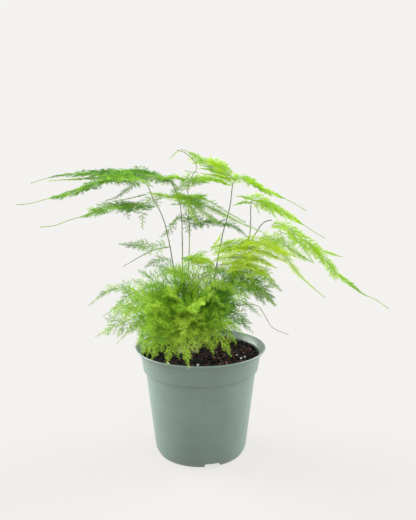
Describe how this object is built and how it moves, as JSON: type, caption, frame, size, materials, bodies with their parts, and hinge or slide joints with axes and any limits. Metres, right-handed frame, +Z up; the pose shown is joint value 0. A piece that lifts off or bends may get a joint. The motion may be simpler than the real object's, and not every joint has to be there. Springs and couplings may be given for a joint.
{
  "type": "potted asparagus fern",
  "caption": "Young asparagus fern with wiry stems and flat feathery fronds, growing in soil in a round tapered plastic grower pot.",
  "frame": {"origin": "middle of the pot's foot ring, on the surface that the pot stands on", "axes": "+Z up along the pot's axis; +X to the right and +Y to the back as seen from the front, where one drain slot shows just right of centre"},
  "size_m": [0.2843, 0.1494, 0.2447],
  "materials": {
    "pot_plastic": "satin sage-green moulded plastic",
    "soil": "rough moist peat and bark crumbs",
    "crown_wood": "matte woody",
    "stem_green": "satin wiry green stem",
    "frond_green": "soft matte feathery foliage",
    "frond_yellow_green": "soft matte bright young foliage"
  },
  "bodies": {
    "root": {"bare_twig_left": "stem_green", "bare_twig_right": "stem_green", "frond_back_high": "frond_green", "frond_bright_right": "frond_yellow_green", "frond_bright_right_low": "frond_yellow_green", "frond_inner_dark": "frond_green", "frond_inner_high": "frond_yellow_green", "frond_inner_low": "frond_yellow_green", "frond_left": "frond_green", "frond_left_small": "frond_green", "frond_right_hanging": "frond_yellow_green", "frond_right_inner": "frond_yellow_green", "frond_right_long": "frond_yellow_green", "frond_top_centre": "frond_yellow_green", "frond_top_left": "frond_green", "frond_top_left_back": "frond_green", "frond_top_right": "frond_yellow_green", "frond_top_right_back": "frond_yellow_green", "frond_upper_right": "frond_yellow_green", "low_frond_back": "frond_green", "low_frond_back_left": "frond_green", "low_frond_back_right": "frond_green", "low_frond_front": "frond_green", "low_frond_front_high": "frond_green", "low_frond_front_left_high": "frond_green", "low_frond_left_front": "frond_green", "low_frond_left_high": "frond_green", "low_frond_left_low": "frond_green", "low_frond_left_mid": "frond_green", "low_frond_left_top": "frond_green", "low_frond_over_front_rim": "frond_green", "low_frond_over_left_rim": "frond_green", "low_frond_over_soil": "frond_green", "low_frond_right_back": "frond_green", "low_frond_right_high": "frond_green", "low_frond_right_low": "frond_green", "low_frond_right_mid": "frond_green", "new_shoot": "stem_green", "nursery_pot": "pot_plastic", "potting_soil": "soil", "root_crown": "crown_wood", "stem_centre": "stem_green", "stem_far_right": "stem_green", "stem_left": "stem_green", "stem_right": "stem_green", "stem_upper_right": "stem_green"}
  },
  "joints": []
}
